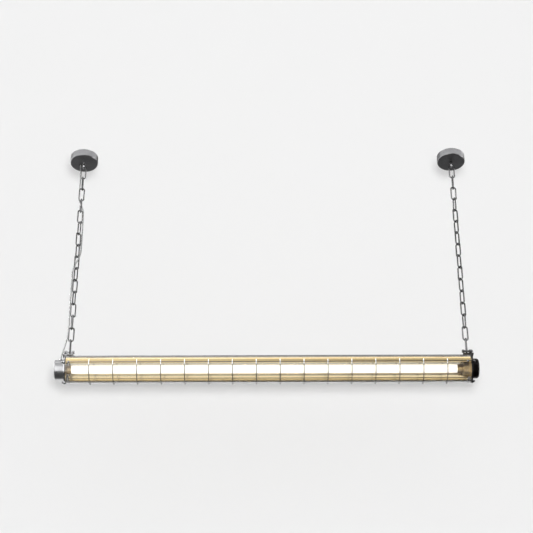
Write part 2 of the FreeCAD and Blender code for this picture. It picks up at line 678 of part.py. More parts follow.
def rotor(side):
    """The turning piece that the lamp's pins sit in."""
    face = LAMP_LEFT - HOLDER_GAP if side == LEFT else LAMP_RIGHT + HOLDER_GAP
    body = cylinder_x(ROTOR_DIAMETER / 2, face, face + side * ROTOR_DEPTH)
    for rise in (-PIN_SPACING / 2, PIN_SPACING / 2):
        hole_end = face + side * PIN_LENGTH
        body = body.cut(cylinder_x(PIN_DIAMETER / 2 + THREAD_FIT, face, hole_end, 0, AXIS_Z + rise))
    return body


# Lamp
def lamp_glass():
    outer = LAMP_DIAMETER / 2 - LAMP_CAP_WALL - LAMP_SEAL_GAP
    ends = (LAMP_LEFT + LAMP_CAP_WALL + LAMP_SEAL_GAP, LAMP_RIGHT - LAMP_CAP_WALL - LAMP_SEAL_GAP)
    return cylinder_x(outer, *ends).cut(cylinder_x(outer - LAMP_GLASS_WALL, *ends))


def lamp_cap(side):
    """A metal cup over the lamp's end."""
    face = LAMP_LEFT if side == LEFT else LAMP_RIGHT
    rim = face - side * LAMP_CAP_LENGTH
    cup = cylinder_x(LAMP_DIAMETER / 2, face, rim)
    cup = cup.cut(cylinder_x(LAMP_DIAMETER / 2 - LAMP_CAP_WALL, face - side * LAMP_CAP_WALL, rim))
    for rise in (-PIN_SPACING / 2, PIN_SPACING / 2):
        cup = cup.cut(cylinder_x(PIN_DIAMETER / 2, face, rim, 0, AXIS_Z + rise))
    return cup


def lamp_pins():
    pins = []
    for side in SIDES:
        face = LAMP_LEFT if side == LEFT else LAMP_RIGHT
        for rise in (-PIN_SPACING / 2, PIN_SPACING / 2):
            ends = (face - side * LAMP_CAP_WALL, face + side * PIN_LENGTH)
            pins.append(cylinder_x(PIN_DIAMETER / 2, *ends, 0, AXIS_Z + rise))
    return pins


def lamp_strip():
    """The strip of light sources inside the lamp, on a flat across its upper half."""
    reach = LAMP_LENGTH / 2 - LAMP_CAP_LENGTH
    middle = (LAMP_LEFT + LAMP_RIGHT) / 2
    inner = LAMP_DIAMETER / 2 - LAMP_CAP_WALL - LAMP_SEAL_GAP - LAMP_GLASS_WALL
    top = AXIS_Z + math.sqrt(inner ** 2 - (STRIP_WIDTH / 2) ** 2) - LAMP_SEAL_GAP
    half = STRIP_WIDTH / 2
    return block((middle - reach, middle + reach), (-half, half), (top - STRIP_THICKNESS, top))


# End caps
def cap_profile(side, radius, length, floor, edge):
    """A cup along X over the spigot, with a flat floor and a rounded outer edge."""
    mouth = side * FLANGE_OUTER
    end = mouth + side * length
    cup = cylinder_x(radius, mouth, end)
    cup = cup.makeFillet(edge, edges_in_plane(cup, X_AXIS, end))
    return cup.cut(cylinder_x(CAP_BORE / 2, mouth, end - side * floor))


def feed_cap():
    cap = cap_profile(LEFT, FEED_CAP_RADIUS, FEED_CAP_LENGTH, FEED_CAP_FLOOR, FEED_CAP_EDGE)
    start = -(FLANGE_OUTER + FEED_GROOVE_PLACE)
    ends = (start, start - FEED_GROOVE_WIDTH)
    groove = cylinder_x(FEED_CAP_RADIUS, *ends).cut(cylinder_x(FEED_CAP_RADIUS - FEED_GROOVE_DEPTH, *ends))
    cap = cap.cut(groove)
    cap = cap.cut(cylinder_z(GLAND_NECK / 2 + THREAD_FIT, AXIS_Z, AXIS_Z + FEED_CAP_RADIUS, GLAND_X))
    for screw in feed_cap_screws():
        cap = cap.cut(screw)
    return cap


def feed_cap_screws():
    """Set screws through the feed cap into the spigot, front and back."""
    x = -(FLANGE_OUTER + SET_SCREW_PLACE)
    depth = SPIGOT_RADIUS - SMALL_SCREW_DIAMETER
    reach = FEED_CAP_RADIUS - FEED_GROOVE_DEPTH
    front = Part.makeCylinder(SMALL_SCREW_DIAMETER / 2, reach - depth, V(x, -reach, AXIS_Z), Y_AXIS)
    back = Part.makeCylinder(SMALL_SCREW_DIAMETER / 2, reach - depth, V(x, depth, AXIS_Z), Y_AXIS)
    return [front, back]


def blank_cap():
    return cap_profile(RIGHT, BLANK_CAP_RADIUS, BLANK_CAP_LENGTH, BLANK_CAP_FLOOR, BLANK_CAP_EDGE)


# Cable gland and the terminal block under it
def cable_gland():
    seat = AXIS_Z + FEED_CAP_RADIUS
    low = AXIS_Z + CAP_BORE / 2 - GLAND_INNER_REACH
    body = cylinder_z(GLAND_NECK / 2, low, seat + GLAND_HEX_HEIGHT, GLAND_X)
    body = body.fuse(hexagon(GLAND_ACROSS, V(GLAND_X, 0, seat), Z_AXIS, GLAND_HEX_HEIGHT))
    bore = cylinder_z(CORD_DIAMETER / 2 + CORD_FIT, low, seat + GLAND_HEX_HEIGHT, GLAND_X)
    return body.removeSplitter().cut(bore)


def gland_nut():
    """A domed nut on the gland that grips the flex."""
    low = AXIS_Z + FEED_CAP_RADIUS + GLAND_HEX_HEIGHT
    nut = cylinder_z(GLAND_NUT_DIAMETER / 2, low, low + GLAND_NUT_HEIGHT, GLAND_X)
    nut = nut.makeFillet(GLAND_NUT_HEIGHT / 3, edges_in_plane(nut, Z_AXIS, low + GLAND_NUT_HEIGHT))
    return nut.cut(cylinder_z(CORD_DIAMETER / 2 + GLAND_NUT_FIT, low, low + GLAND_NUT_HEIGHT, GLAND_X))


def feed_terminal_block():
    """A block on the feed holder's tail, under the gland."""
    low = AXIS_Z + TAIL_DIAMETER / 2
    half = BLOCK_WIDTH / 2
    half_length = BLOCK_LENGTH / 2
    x_ends = (GLAND_X - half, GLAND_X + half)
    return block(x_ends, (-half_length, half_length), (low, low + FEED_BLOCK_HEIGHT))


# Flex
def cord_tube(points):
    """A round tube along straight runs joined by tangent arcs."""
    edges = []
    start = points[0]
    radii = []
    for before, corner, after in zip(points, points[1:], points[2:]):
        back = before - corner
        ahead = after - corner
        cut = ARC_SHARE * min(back.Length, ahead.Length)
        half_turn = (math.pi - back.getAngle(ahead)) / 2
        radius = cut / math.tan(half_turn)
        radii.append(round(radius))
        enter = corner + V(back).normalize() * cut
        leave = corner + V(ahead).normalize() * cut
        towards = (enter + leave) * 0.5 - corner
        middle = corner + towards.normalize() * (radius / math.cos(half_turn) - radius)
        edges.append(line(start, enter))
        edges.append(arc(enter, middle, leave))
        start = leave
    edges.append(line(start, points[-1]))
    path = Part.Wire(edges)
    section = Part.Wire(Part.Circle(points[0], points[1] - points[0], CORD_DIAMETER / 2).toShape())
    tube = path.makePipeShell([section], True, False)
    expected = math.pi * CORD_DIAMETER ** 2 / 4 * path.Length
    print("flex length", round(path.Length, 1), "bend radii", radii)
    print("volume against section times length", round(tube.Volume / expected, 5))
    return tube


def pieces():
    """Every node's name with its solids."""
    return {
        "left_rose_cup": [rose_cup(LEFT)],
        "right_rose_cup": [rose_cup(RIGHT)],
        "ceiling_plates": [ceiling_plate(side) for side in SIDES],
        "plate_nuts": [plate_nut(side) for side in SIDES],
        "eye_hooks": [eye_hook(side) for side in SIDES],
        "rose_jam_nuts": [jam_nut(side) for side in SIDES],
        "rose_cord_bush": [rose_cord_bush()],
        "rose_terminal_block": [rose_terminal_block()],
        "cord_top": [cord_tube(CORD_TOP_POINTS)],
        "cord_run": [cord_tube(CORD_RUN_POINTS)],
        "cord_tail": [cord_tube(CORD_TAIL_POINTS)],
        "left_top_link": [chain_link(-CHAIN_X, 1)],
        "left_chain_links": chain_middle(LEFT),
        "left_bottom_link": [chain_link(-CHAIN_X, LINK_COUNT)],
        "right_top_link": [chain_link(CHAIN_X, 1)],
        "right_chain_links": chain_middle(RIGHT),
        "right_bottom_link": [chain_link(CHAIN_X, LINK_COUNT)],
        "left_hanger_bracket": [hanger_bracket(LEFT)],
        "right_hanger_bracket": [hanger_bracket(RIGHT)],
        "hanger_bolts": [hanger_bolt(side) for side in SIDES],
        "hanger_dome_nuts": [hanger_nut(side) for side in SIDES],
        "hanger_screws": [hanger_screw(side) for side in SIDES],
        "left_end_flange": [end_flange(LEFT)],
        "right_end_flange": [end_flange(RIGHT)],
        "glass_tube": [glass_tube()],
        "glass_gaskets": [gasket(side) for side in SIDES],
        "tie_rods": [tie_rod(angle) for angle in ROD_ANGLES],
        "rod_dome_nuts": rod_nuts(),
        "rod_ball_collars": rod_collars(),
        "cage_hoops": cage_hoops(),
        "reflector": [reflector()],
        "reflector_straps": [reflector_strap(side) for side in SIDES],
        "reflector_rivets": [reflector_rivet(side) for side in SIDES],
        "left_lampholder": [lampholder(LEFT)],
        "right_lampholder": [lampholder(RIGHT)],
        "holder_lock_ring": [lock_ring()],
        "lampholder_screws": holder_screws(),
        "feed_end_cap": [feed_cap()],
        "feed_cap_set_screws": feed_cap_screws(),
        "cable_gland": [cable_gland()],
        "gland_nut": [gland_nut()],
        "feed_terminal_block": [feed_terminal_block()],
        "blank_end_cap": [blank_cap()],
        "lampholder_rotors": [rotor(side) for side in SIDES],
        "lamp_glass": [lamp_glass()],
        "lamp_end_caps": [lamp_cap(side) for side in SIDES],
        "lamp_pins": lamp_pins(),
        "lamp_led_strip": [lamp_strip()],
    }


os.makedirs("parts", exist_ok=True)
for name, solids in pieces().items():
    shape = solids[0] if len(solids) == 1 else Part.makeCompound(solids)
    shape.exportStep("parts/" + name + ".step")
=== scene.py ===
"""Looks for a chain-hung tubular pendant light with a half cage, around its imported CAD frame."""

import json
import math

import bpy
from mathutils import Matrix, Vector


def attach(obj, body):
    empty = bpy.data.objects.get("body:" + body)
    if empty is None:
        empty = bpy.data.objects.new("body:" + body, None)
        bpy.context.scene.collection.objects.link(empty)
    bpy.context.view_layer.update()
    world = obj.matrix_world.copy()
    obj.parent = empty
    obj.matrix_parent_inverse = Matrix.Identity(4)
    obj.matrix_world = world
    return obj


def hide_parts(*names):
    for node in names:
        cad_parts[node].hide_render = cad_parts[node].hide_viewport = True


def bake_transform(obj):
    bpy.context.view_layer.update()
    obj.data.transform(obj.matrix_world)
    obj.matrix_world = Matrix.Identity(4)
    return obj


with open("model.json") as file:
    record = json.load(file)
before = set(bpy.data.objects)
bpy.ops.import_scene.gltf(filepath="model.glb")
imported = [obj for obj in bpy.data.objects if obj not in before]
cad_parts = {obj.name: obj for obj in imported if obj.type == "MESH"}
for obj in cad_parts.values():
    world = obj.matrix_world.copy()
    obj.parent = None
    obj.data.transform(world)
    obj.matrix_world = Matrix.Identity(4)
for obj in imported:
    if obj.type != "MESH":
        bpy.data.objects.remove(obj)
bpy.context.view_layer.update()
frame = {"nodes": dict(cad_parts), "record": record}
nodes = frame["nodes"]

# Places taken over from the CAD source, in metres
CHAIN_X = 0.604
LINK_WIDTH = 0.020
LINK_PITCH = 0.045
TOP_LINK_Z = -0.03895
AXIS_Z = -0.820
ROSE_ENTRY = (-0.616, 0.006)
GLAND_ENTRY = (-0.630, 0.0)

# Signs and names of the two sides
SIDES = ((-1, "left"), (1, "right"))

# Slots that are clear, or too thin for a shadow in soft light
SHADOWLESS_SLOTS = ("clear_glass", "chain_nickel", "cord_clear")

# Steel pieces of the right end, tinted darker as painted shade, as its cap is
SHADED_END_NODES = ("right_hanger_bracket", "right_end_flange")

# Ways in which a grain is drawn out
EVEN = (1.0, 1.0, 1.0)
ALONG_X = (0.05, 1.0, 1.0)
ALONG_Z = (1.0, 1.0, 0.08)
ROUND_X = (1.0, 0.05, 0.05)

# Patterns of the finishes: the part of a noise that is used, noise scales, and bumps in metres
NOISE_MIDDLE = (0.3, 0.7)
METAL_CLOUDS = 34.0
METAL_GRAIN = 900.0
METAL_BUMP = 0.000004
HOLDER_GRAIN = 700.0
HOLDER_BUMP = 0.00002
PLASTIC_CLOUDS = 60.0
PLASTIC_POLISH = 300.0
PLASTIC_GRAIN = 1200.0
PLASTIC_BUMP = 0.00001
GLASS_DUST = 120.0
LAMP_CLOUDS = 25.0

# Ranges over which a tint changes: across the sheet of the reflector, whose hollow side is tinted paler as
# painted light, and towards the ends of the hoops, which are tinted pale as a painted highlight
SHEET_LIGHT_CHANGE = (-0.02, 0.02)
WIRE_HIGHLIGHT_REACH = (0.0456, 0.0466)

# The flex: three stretches that overlap a little where they meet, each a sheath with two twisted wires
CORD_DIAMETER = 0.0042
CORD_OVERLAP = 0.004
CORD_SIDES = 20
LINE_ORDER = 3
LINE_RESOLUTION = 24
STRAND_COUNT = 2
STRAND_RADIUS = 0.00055
STRAND_OFFSET = 0.00075
STRAND_TURNS = 90.0
STRAND_SIDES = 8
STRAND_STEP = 0.0012

# The photograph's camera
PHOTO_PIXELS = 533
FOCAL_PIXELS = 1700.0
SENSOR_MM = 36.0
CAMERA_PLACE = (-0.0044, -4.3867, -3.5183)
CAMERA_PITCH = 35.05
CAMERA_ROLL = -0.18
CAMERA_REACH = 60.0

# Room and lights
WALL_Y = 0.42
WALL_TOP = 5.0
FLOOR_Z = -3.75
ROOM_ENDS = (-9.0, 9.0)
WALL_SHADES = (0.777, 0.833)
FLOOR_SHADE = 0.80
BACKDROP = (0.888, 0.888, 0.888, 1.0)
WHITE = (1.0, 1.0, 1.0, 1.0)
BLACK = (0.0, 0.0, 0.0, 1.0)
FILL_STRENGTH = 0.765
KEY_PLACE = (0.09, -4.559, -3.272)
KEY_RADIUS = 0.25
KEY_POWER = 17.6

# Heights at which the photograph's lower and upper edges meet the wall
WALL_SHADE_Z = (-1.163, 1.117)

# Edges and heights that the cards of light and shade share
CARD_EDGE = 2.6
CARD_X = (-CARD_EDGE, CARD_EDGE)
CARD_FRONT = -2.2
CARD_BACK = 3.0
CARD_SPLIT = -0.3
CARD_TOP = 3.6
ROOF_Z = 1.9
ROOF_LIGHT_END = -0.45
SIDE_LIGHT_TOP = 1.42
HOOP_LIGHT_END = -0.5
UNDER_Z = -2.3
UNDER_SPLIT = 2.3
GOLD_ROOF_Z = 1.8
GOLD_STREAK_Y = (-0.9, 0.05)
GOLD_UNDER_Z = -1.3
EDGE_FLAG_X = (-2.0, 2.0)
EDGE_FLAG_Y = WALL_Y - 0.01
FADE_X = (-1.2, 0.7)

# Cards at the ceiling roses
RING_RADIUS = 0.15
RING_Z = (0.03, 0.14)
RING_STEPS = 40
RING_TURNS = (-92.0, 112.0)
RING_STRENGTH = 2.2
GLINT_OUT = 0.14
GLINT_Y = (-0.075, -0.005)
GLINT_Z = (-0.075, -0.035)
GLINT_STRENGTH = 14.0


# Materials
def start_material(name):
    """A new material with its node tree and its shader."""
    material = bpy.data.materials.new(name)
    material.use_nodes = True
    return material, material.node_tree, material.node_tree.nodes["Principled BSDF"]


def noise(tree, scale, detail, stretch=EVEN):
    """A noise pattern fixed to the piece, drawn out by stretch."""
    place = tree.nodes.new("ShaderNodeTexCoord")
    mapping = tree.nodes.new("ShaderNodeMapping")
    mapping.inputs["Scale"].default_value = stretch
    texture = tree.nodes.new("ShaderNodeTexNoise")
    texture.inputs["Scale"].default_value = scale
    texture.inputs["Detail"].default_value = detail
    tree.links.new(place.outputs["Object"], mapping.inputs["Vector"])
    tree.links.new(mapping.outputs["Vector"], texture.inputs["Vector"])
    return texture.outputs["Fac"]


def place_along(tree, axis):
    """A point's place along one axis of its piece."""
    place = tree.nodes.new("ShaderNodeTexCoord")
    split = tree.nodes.new("ShaderNodeSeparateXYZ")
    tree.links.new(place.outputs["Object"], split.inputs["Vector"])
    return split.outputs[axis]


def spread(tree, value, from_ends, to_ends):
    """A value that runs evenly over to_ends while the given one runs over from_ends."""
    node = tree.nodes.new("ShaderNodeMapRange")
    node.inputs["From Min"].default_value = from_ends[0]
    node.inputs["From Max"].default_value = from_ends[1]
    node.inputs["To Min"].default_value = to_ends[0]
    node.inputs["To Max"].default_value = to_ends[1]
    tree.links.new(value, node.inputs["Value"])
    return node.outputs["Result"]


def tinted(tree, pattern, low, high):
    """A colour that runs from low to high with the pattern."""
    ramp = tree.nodes.new("ShaderNodeValToRGB")
    for element, position, colour in zip(ramp.color_ramp.elements, NOISE_MIDDLE, (low, high)):
        element.position = position
        element.color = (*colour, 1.0)
    tree.links.new(pattern, ramp.inputs["Fac"])
    return ramp.outputs["Color"]


def set_roughness(tree, shader, pattern, ends):
    """Roughness that runs between two ends with the pattern."""
    tree.links.new(spread(tree, pattern, NOISE_MIDDLE, ends), shader.inputs["Roughness"])


def add_bump(tree, shader, pattern, distance):
    """A relief of the pattern, distance high."""
    bump = tree.nodes.new("ShaderNodeBump")
    bump.inputs["Distance"].default_value = distance
    tree.links.new(pattern, bump.inputs["Height"])
    tree.links.new(bump.outputs["Normal"], shader.inputs["Normal"])


def metal_clouds(tree):
    """A pattern of soft clouds all over the piece."""
    return noise(tree, METAL_CLOUDS, detail=5.0)


def hollow_side_light(tree):
    """A pattern on a sheet round the tube's axis: 0 on its hollow side and 1 on its outer side; it gives
    the reflector's hollow side a paler tint, which is painted light.
    """
    place = tree.nodes.new("ShaderNodeTexCoord")
    from_axis = tree.nodes.new("ShaderNodeMapping")
    from_axis.inputs["Location"].default_value = (0.0, 0.0, -AXIS_Z)
    from_axis.inputs["Scale"].default_value = (0.0, 1.0, 1.0)
    facing = tree.nodes.new("ShaderNodeVectorMath")
    facing.operation = "DOT_PRODUCT"
    tree.links.new(place.outputs["Object"], from_axis.inputs["Vector"])
    tree.links.new(from_axis.outputs["Vector"], facing.inputs[0])
    tree.links.new(place.outputs["Normal"], facing.inputs[1])
    return spread(tree, facing.outputs["Value"], SHEET_LIGHT_CHANGE, (0.0, 1.0))


def wire_end_highlight(tree):
    """A pattern on the hoops: 1 where their wire stands out past the front and back rods, and else 0; it
    puts a painted highlight on the wire's ends.
    """
    reach = tree.nodes.new("ShaderNodeMath")
    reach.operation = "ABSOLUTE"
    tree.links.new(place_along(tree, "Y"), reach.inputs[0])
    return spread(tree, reach.outputs["Value"], WIRE_HIGHLIGHT_REACH, (0.0, 1.0))


def plated(name, low, high, roughness, stretch=EVEN, grain=METAL_GRAIN, bump=METAL_BUMP,
           pattern=metal_clouds):
    """Plated metal: two tints mixed by a pattern, uneven polish and a fine grain drawn out by stretch."""
    material, tree, shader = start_material(name)
    shader.inputs["Metallic"].default_value = 1.0
    tree.links.new(tinted(tree, pattern(tree), low, high), shader.inputs["Base Color"])
    set_roughness(tree, shader, noise(tree, grain / 2, detail=6.0, stretch=stretch), roughness)
    add_bump(tree, shader, noise(tree, grain, detail=3.0, stretch=stretch), bump)
    return material


def plastic(name, low, high, roughness):
    """Moulded plastic or rubber with a fine grain."""
    material, tree, shader = start_material(name)
    clouds = noise(tree, PLASTIC_CLOUDS, detail=4.0)
    tree.links.new(tinted(tree, clouds, low, high), shader.inputs["Base Color"])
    set_roughness(tree, shader, noise(tree, PLASTIC_POLISH, detail=4.0), roughness)
    add_bump(tree, shader, noise(tree, PLASTIC_GRAIN, detail=3.0), PLASTIC_BUMP)
    return material


def clear(name, tint, roughness, ior):
    """A clear body with a trace of dust in its polish."""
    material, tree, shader = start_material(name)
    shader.inputs["Base Color"].default_value = (*tint, 1.0)
    shader.inputs["Transmission Weight"].default_value = 1.0
    shader.inputs["IOR"].default_value = ior
    set_roughness(tree, shader, noise(tree, GLASS_DUST, detail=5.0), roughness)
    return material


def lit_tube(name, body, low, high, roughness, strength):
    """A frosted tube, lit evenly with a trace of cloud."""
    material, tree, shader = start_material(name)
    clouds = noise(tree, LAMP_CLOUDS, detail=3.0)
    shader.inputs["Base Color"].default_value = (*body, 1.0)
    tree.links.new(tinted(tree, clouds, low, high), shader.inputs["Emission Color"])
    shader.inputs["Emission Strength"].default_value = strength
    set_roughness(tree, shader, clouds, roughness)
    return material


finishes = {}


def add_finish(name, make, *look, **more):
    """Makes a material and keeps it under its name."""
    finishes[name] = make(name, *look, **more)


# Each finish has two tints, or one if it is clear, and then the ends of its roughness
add_finish("rose_nickel", plated, (0.14, 0.14, 0.144), (0.175, 0.175, 0.179), (0.26, 0.34), ALONG_Z)
add_finish("chain_nickel", plated, (0.11, 0.11, 0.112), (0.165, 0.165, 0.167), (0.14, 0.24))
add_finish("fitting_steel", plated, (0.26, 0.26, 0.265), (0.34, 0.34, 0.345), (0.16, 0.26))
# A darker copy of the fitting steel, as painted shade on the right end.
add_finish("fitting_dark", plated, (0.075, 0.073, 0.071), (0.11, 0.107, 0.104), (0.16, 0.26))
add_finish("plate_steel", plated, (0.38, 0.38, 0.39), (0.48, 0.48, 0.48), (0.32, 0.45))
add_finish("cap_nickel", plated, (0.24, 0.24, 0.245), (0.295, 0.295, 0.30), (0.26, 0.36), ROUND_X)
# The right cap's near-black tint is painted shade too: the right end is painted darker than the left.
add_finish("cap_black", plated, (0.014, 0.013, 0.013), (0.022, 0.020, 0.020), (0.22, 0.32), ROUND_X)
# The hoops' wire is tinted pale at its ends past the rods: a painted highlight.
add_finish("cage_wire", plated, (0.19, 0.18, 0.165), (0.74, 0.735, 0.72), (0.12, 0.20), pattern=wire_end_highlight)
add_finish("clear_glass", clear, (1.0, 1.0, 1.0), (0.0, 0.015), ior=1.47)
# The reflector's paler, whiter tint on its hollow side is painted light.
add_finish("reflector_gold", plated, (0.945, 0.865, 0.69), (0.88, 0.675, 0.33), (0.08, 0.16), ALONG_X,
           pattern=hollow_side_light)
add_finish("holder_gold", plated, (0.28, 0.20, 0.095), (0.40, 0.29, 0.14), (0.32, 0.44),
           grain=HOLDER_GRAIN, bump=HOLDER_BUMP)
add_finish("brass_bright", plated, (0.30, 0.21, 0.09), (0.42, 0.30, 0.14), (0.32, 0.42))
add_finish("rubber_grey", plastic, (0.020, 0.020, 0.020), (0.035, 0.035, 0.034), (0.55, 0.70))
add_finish("terminal_white", plastic, (0.74, 0.74, 0.71), (0.82, 0.82, 0.80), (0.35, 0.45))
add_finish("cord_clear", clear, (0.93, 0.94, 0.94), (0.03, 0.08), ior=1.40)
add_finish("lamp_white", lit_tube, (0.22, 0.215, 0.20), (1.0, 0.95, 0.84), (1.0, 0.97, 0.88), (0.28, 0.36),
           strength=1.05)
add_finish("led_white", plastic, (0.84, 0.82, 0.74), (0.90, 0.88, 0.82), (0.45, 0.55))
add_finish("tinned_wire", plated, (0.45, 0.45, 0.45), (0.58, 0.58, 0.57), (0.25, 0.35))

for part in frame["record"]["subparts"]:
    node = nodes[part["node"]]
    slot = part["material_slot"]
    # Pieces of the right end take the darker copy of the steel as painted shade.
    takes_painted_shade = part["node"] in SHADED_END_NODES
    node.data.materials.clear()
    node.data.materials.append(finishes["fitting_dark" if takes_painted_shade else slot])
    node.visible_shadow = slot not in SHADOWLESS_SLOTS


# Flex
def beside_chain(out, back, links):
    """A place by the left chain: outwards and backwards in link widths, downwards in links."""
    return Vector((-CHAIN_X - out * LINK_WIDTH, back * LINK_WIDTH, TOP_LINK_Z - links * LINK_PITCH))


TOP_JOIN = beside_chain(0.44, 0.355, 1)
TAIL_JOIN = beside_chain(0.7, 0.28, 15)
TOP_ROUTE = (
    Vector((*ROSE_ENTRY, -0.013)),
    Vector((*ROSE_ENTRY, -0.036)),
    beside_chain(0.45, 0.36, 0.51),
    TOP_JOIN,
)
RUN_ROUTE = (
    TOP_JOIN,
    beside_chain(0.42, 0.345, 1.98),
    beside_chain(0.48, 0.28, 3),
    beside_chain(-0.52, -0.205, 4),
    beside_chain(-0.53, -0.125, 5),
    beside_chain(-0.55, -0.08, 6),
    beside_chain(-0.54, -0.02, 7),
    beside_chain(-0.54, -0.015, 8),
    beside_chain(0.54, 0.015, 9),
    beside_chain(0.54, 0.03, 10),
    beside_chain(0.52, 0.075, 11),
    beside_chain(0.52, 0.12, 12),
    beside_chain(0.5, 0.2, 13),
    beside_chain(0.47, 0.28, 14),
    beside_chain(0.55, 0.31, 14.6),
    TAIL_JOIN,
)
TAIL_ROUTE = (
    TAIL_JOIN,
    beside_chain(0.85, 0.25, 15.4),
    beside_chain(1.08, 0.13, 15.91),
    Vector((*GLAND_ENTRY, -0.776)),
    Vector((*GLAND_ENTRY, -0.7965)),
)


def lengthened(route, at_start, at_end):
    """The route with its first and last run drawn out."""
    points = [Vector(point) for point in route]
    points[0] += (points[0] - points[1]).normalized() * at_start
    points[-1] += (points[-1] - points[-2]).normalized() * at_end
    return points


def smooth_line(route):
    """Points along the NURBS spline that has the route's points as its control points."""
    curve = bpy.data.curves.new("flex_line", "CURVE")
    curve.dimensions = "3D"
    curve.resolution_u = LINE_RESOLUTION
    spline = curve.splines.new("NURBS")
    spline.points.add(len(route) - 1)
    for point, place in zip(spline.points, route):
        point.co = (*place, 1.0)
    spline.order_u = LINE_ORDER
    spline.use_endpoint_u = True
    carrier = bpy.data.objects.new("flex_line", curve)
    mesh = bpy.data.meshes.new_from_object(carrier)
    line = [vertex.co.copy() for vertex in mesh.vertices]
    bpy.data.meshes.remove(mesh)
    bpy.data.objects.remove(carrier)
    bpy.data.curves.remove(curve)
    return line


def finer_line(line, step):
    """The smooth line with its points no further than step apart."""
    points = [line[0]]
    for before, after in zip(line, line[1:]):
        count = max(1, math.ceil((after - before).length / step))
        for number in range(1, count + 1):
            points.append(before.lerp(after, number / count))
    return points


def carried_frames(line):
    """For each point of a line its distance along it and two directions square to it that don't spin."""
    found = []
    side = None
    along = 0.0
    for number, point in enumerate(line):
        before = line[max(number - 1, 0)]
        after = line[min(number + 1, len(line) - 1)]
        ahead = (after - before).normalized()
        if side is None:
            side = ahead.orthogonal()
        side = (side - ahead * side.dot(ahead)).normalized()
        if number:
            along += (point - line[number - 1]).length
        found.append((point, along, side, ahead.cross(side)))
    return found


def tube_object(name, line, radius, sides, offset=0.0, turns=0.0, phase=0.0):
    """A round tube along a line, or wound about it at an offset with so many turns to the metre."""
    vertices = []
    for point, along, side, other in carried_frames(line):
        turn = phase + 2 * math.pi * turns * along
        centre = point + (side * math.cos(turn) + other * math.sin(turn)) * offset
        for step in range(sides):
            angle = 2 * math.pi * step / sides
            vertices.append(centre + (side * math.cos(angle) + other * math.sin(angle)) * radius)
    faces = []
    for ring in range(len(line) - 1):
        for step in range(sides):
            low = ring * sides
            beside = (step + 1) % sides
            faces.append((low + step, low + beside, low + sides + beside, low + sides + step))
    last = (len(line) - 1) * sides
    faces.append(tuple(reversed(range(sides))))
    faces.append(tuple(range(last, last + sides)))
    mesh = bpy.data.meshes.new(name)
    mesh.from_pydata(vertices, [], faces)
    mesh.shade_smooth()
    tube = bpy.data.objects.new(name, mesh)
    bpy.context.collection.objects.link(tube)
    return tube


def dress_flex(piece, name):
    """Gives a piece of the flex its material, and takes its shadow away."""
    piece.data.materials.append(finishes[name])
    piece.visible_shadow = False


def make_flex(name, route, overlaps, node):
    """One stretch of flex in place of its CAD node: its sheath, its wires and the line they follow."""
    line = smooth_line(lengthened(route, *overlaps))
    sheath = tube_object(name, line, CORD_DIAMETER / 2, CORD_SIDES)
    dress_flex(sheath, "cord_clear")
    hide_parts(node)
    strands = []
    dense = finer_line(line, STRAND_STEP)
    for number in range(STRAND_COUNT):
        phase = 2 * math.pi * number / STRAND_COUNT
        strand = tube_object(f"{name}_wire_{number + 1}", dense, STRAND_RADIUS, STRAND_SIDES, STRAND_OFFSET,
                             STRAND_TURNS, phase)
        dress_flex(strand, "tinned_wire")
        strands.append(strand)
    return sheath, strands, line


top, top_wires, top_line = make_flex("flex_top", TOP_ROUTE, (0.0, CORD_OVERLAP), "cord_top")
run, run_wires, run_line = make_flex("flex_run", RUN_ROUTE, (CORD_OVERLAP, CORD_OVERLAP), "cord_run")
tail, tail_wires, tail_line = make_flex("flex_tail", TAIL_ROUTE, (CORD_OVERLAP, 0.0), "cord_tail")
for piece in (top, *top_wires):
    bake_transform(piece)
for piece in (run, *run_wires):
    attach(piece, "left_chain")
for piece in (tail, *tail_wires):
    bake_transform(piece)


# Stage
def stage_mesh(name, points, faces, material):
    """A piece of the stage from its points and faces."""
    mesh = bpy.data.meshes.new(name)
    mesh.from_pydata(points, [], faces)
    piece = bpy.data.objects.new(name, mesh)
    bpy.context.collection.objects.link(piece)
    mesh.materials.append(material)
    return piece


def stage_plane(name, corners, material):
    """A flat piece of the stage between four corners."""
    return stage_mesh(name, corners, [(0, 1, 2, 3)], material)


def upright_card(start, end, z_ends):
    """The corners of a card that stands on the line between two places on plan."""
    low, high = z_ends
    return [(*start, low), (*end, low), (*end, high), (*start, high)]


def front_card(x_ends, y, z_ends):
    """The corners of an upright card that faces the front."""
    return upright_card((x_ends[0], y), (x_ends[1], y), z_ends)


def side_card(x, y_ends, z_ends):
    """The corners of an upright card that faces sideways."""
    return upright_card((x, y_ends[0]), (x, y_ends[1]), z_ends)


def level_card(x_ends, y_ends, z):
    """The corners of a card that faces up."""
    left, right = x_ends
    front, back = y_ends
    return [(left, front, z), (right, front, z), (right, back, z), (left, back, z)]


def matt_paint(name, shade):
    """Plain matt paint that shows from its front only."""
    material, tree, shader = start_material(name)
    shader.inputs["Base Color"].default_value = (shade, shade, shade, 1.0)
    shader.inputs["Roughness"].default_value = 1.0
    shader.inputs["Specular IOR Level"].default_value = 0.0
    through = tree.nodes.new("ShaderNodeBsdfTransparent")
    side = tree.nodes.new("ShaderNodeNewGeometry")
    mix = tree.nodes.new("ShaderNodeMixShader")
    tree.links.new(side.outputs["Backfacing"], mix.inputs["Fac"])
    tree.links.new(shader.outputs["BSDF"], mix.inputs[1])
    tree.links.new(through.outputs["BSDF"], mix.inputs[2])
    tree.links.new(mix.outputs["Shader"], tree.nodes["Material Output"].inputs["Surface"])
    return material


def shade_upwards(material, z_ends, shades):
    """Lets a paint's grey run evenly between two heights."""
    tree = material.node_tree
    shade = spread(tree, place_along(tree, "Z"), z_ends, shades)
    tree.links.new(shade, tree.nodes["Principled BSDF"].inputs["Base Color"])


